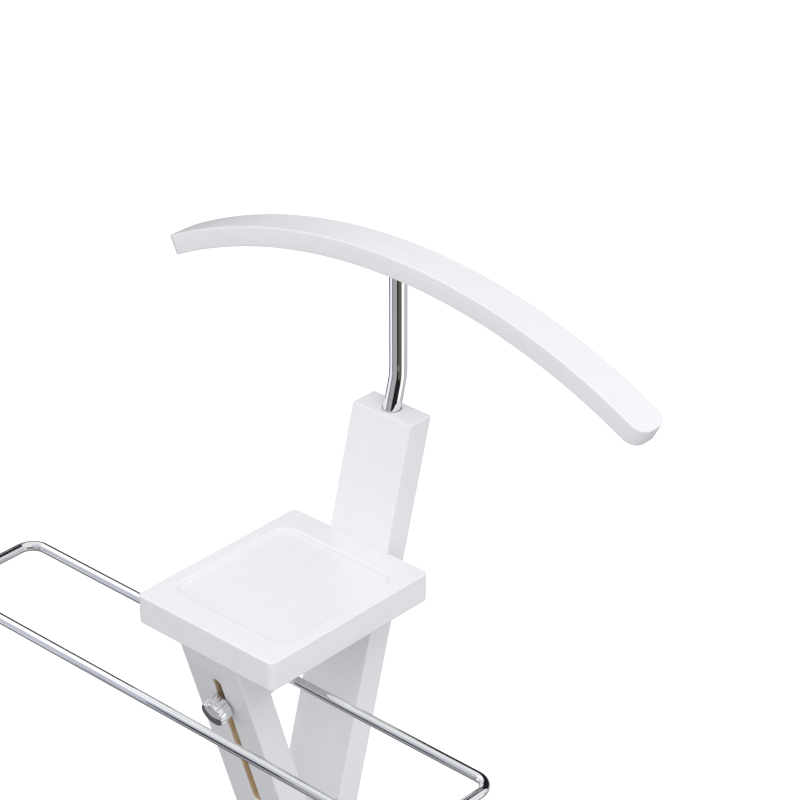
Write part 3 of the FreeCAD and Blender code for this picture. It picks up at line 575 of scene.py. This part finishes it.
# Upright cards behind and in front: (x from, x to, y, z from, z to, colour).
CARD_BEHIND = 2.0
CARD_IN_FRONT = -2.2
DARK = (0.015, 0.015, 0.017)
UPRIGHT_CARDS = (
    (-3.8, 1.2, CARD_BEHIND, 0.0, 2.45, DARK),
    (-2.4, 1.2, CARD_BEHIND, 2.7, 4.4, DARK),
    (-1.6, 1.2, CARD_BEHIND, 2.45, 2.7, DARK),
    (-3.8, -2.4, CARD_BEHIND, 2.45, 2.95, DARK),
    (-3.6, 1.6, CARD_IN_FRONT, 0.2, 3.6, (0.60, 0.61, 0.70)),
)

# Level cards above and below: (x from, x to, y from, y to, z, colour).
LEVEL_CARDS = (
    (-4.8, -2.2, -3.0, 1.98, 3.4, (1.25, 1.25, 1.27)),
    (-1.9, -0.1, -0.5, 1.5, 0.001, (0.10, 0.10, 0.12)),
)

# Lights that no reflection shows: (name, place, aim, diameter, power).
LIGHTS = (
    ("key", (2.5, -0.9, 4.4), (0, 0, 0.9), 2.6, 47.0),
    ("front_fill", (-0.5, -3.4, 1.5), (0, 0, 0.95), 1.8, 6.5),
    ("low_fill", (2.8, -0.9, 0.3), (0, 0, 0.9), 1.6, 8.5),
)
SKY_COLOUR = (0.98, 0.99, 1.0, 1)
SKY_STRENGTH = 0.86


def stage_plane(name, height, colour, glow):
    """A square of floor."""
    half = FLOOR_HALF
    mesh = bpy.data.meshes.new(name)
    corners = [(-half, -half, height), (half, -half, height), (half, half, height), (-half, half, height)]
    mesh.from_pydata(corners, [], [(0, 1, 2, 3)])
    plane = bpy.data.objects.new(name, mesh)
    bpy.context.scene.collection.objects.link(plane)
    shader = Shader(name)
    shader.set(Base_Color=(*colour, 1.0), Roughness=1.0, Specular_IOR_Level=0.0,
               Emission_Color=(1, 1, 1, 1), Emission_Strength=glow)
    mesh.materials.append(shader.material)
    return plane


def emissive_card(name, corners, faces, colour):
    """A glowing card that only reflections show."""
    mesh = bpy.data.meshes.new(name)
    mesh.from_pydata(corners, [], faces)
    plate = bpy.data.objects.new(name, mesh)
    bpy.context.scene.collection.objects.link(plate)
    shader = Shader(name)
    shader.set(Base_Color=(0, 0, 0, 1), Roughness=1.0, Specular_IOR_Level=0.0,
               Emission_Color=(*colour, 1), Emission_Strength=1.0)
    mesh.materials.append(shader.material)
    plate.visible_camera = False
    plate.visible_diffuse = False
    plate.visible_shadow = False
    plate.visible_transmission = False


def ring_card(name, start, stop, bottom, top, colour):
    """A card bent along the ring."""
    count = max(1, round((stop - start) / CARD_STEP))
    corners = []
    for step in range(count + 1):
        angle = math.radians(start + (stop - start) * step / count)
        place = (CARD_RADIUS * math.sin(angle), -CARD_RADIUS * math.cos(angle))
        corners += [(*place, bottom), (*place, top)]
    faces = [(2 * step, 2 * step + 2, 2 * step + 3, 2 * step + 1) for step in range(count)]
    emissive_card(name, corners, faces, colour)


def area_light(name, place, aim, size, power):
    data = bpy.data.lights.new(name, "AREA")
    data.shape = "DISK"
    data.size = size
    data.energy = power
    light = bpy.data.objects.new(name, data)
    bpy.context.scene.collection.objects.link(light)
    light.location = place
    light.rotation_mode = "QUATERNION"
    light.rotation_quaternion = (Vector(aim) - Vector(place)).to_track_quat("-Z", "Y")
    light.visible_glossy = False


floor = stage_plane("floor", FLOOR_LEVEL, (0.97, 0.97, 0.97), FLOOR_GLOW)
floor.visible_diffuse = False
floor.visible_glossy = False
bounce = stage_plane("bounce_floor", BOUNCE_LEVEL, (0.5, 0.5, 0.505), 0.0)
bounce.visible_camera = False

for number, (start, stop, bottom, top, colour) in enumerate(CARD_RING, 1):
    ring_card("ring_card_%d" % number, start, stop, bottom, top, colour)
for number, (x_from, x_to, y, z_from, z_to, colour) in enumerate(UPRIGHT_CARDS, 1):
    corners = [(x_from, y, z_from), (x_to, y, z_from), (x_to, y, z_to), (x_from, y, z_to)]
    emissive_card("upright_card_%d" % number, corners, [(0, 1, 2, 3)], colour)
for number, (x_from, x_to, y_from, y_to, z, colour) in enumerate(LEVEL_CARDS, 1):
    corners = [(x_from, y_from, z), (x_to, y_from, z), (x_to, y_to, z), (x_from, y_to, z)]
    emissive_card("level_card_%d" % number, corners, [(0, 1, 2, 3)], colour)
for light in LIGHTS:
    area_light(*light)

world = bpy.data.worlds.new("studio")
world.use_nodes = True
world.node_tree.nodes["Background"].inputs["Color"].default_value = SKY_COLOUR
world.node_tree.nodes["Background"].inputs["Strength"].default_value = SKY_STRENGTH
bpy.context.scene.world = world
bpy.context.scene.view_settings.view_transform = "Standard"

# ---------------------------------------------------------------- camera
mast_low, mast_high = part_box("mast_stud")
post_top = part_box("post")[1].z
look_at = Vector((0, (mast_low.y + mast_high.y) / 2 + AIM_BEHIND_MAST, post_top + AIM_ABOVE_POST))
outward = Vector((math.sin(CAMERA_AZIMUTH) * math.cos(CAMERA_ELEVATION),
                  -math.cos(CAMERA_AZIMUTH) * math.cos(CAMERA_ELEVATION),
                  math.sin(CAMERA_ELEVATION)))
camera_data = bpy.data.cameras.new("camera")
camera_data.lens = CAMERA_LENS
camera_data.sensor_width = CAMERA_SENSOR
camera_data.clip_end = CAMERA_REACH
camera = bpy.data.objects.new("camera", camera_data)
bpy.context.scene.collection.objects.link(camera)
camera.location = look_at + outward * CAMERA_DISTANCE
camera.rotation_euler = (math.pi / 2 - CAMERA_ELEVATION, 0, CAMERA_AZIMUTH)
bpy.context.scene.camera = camera
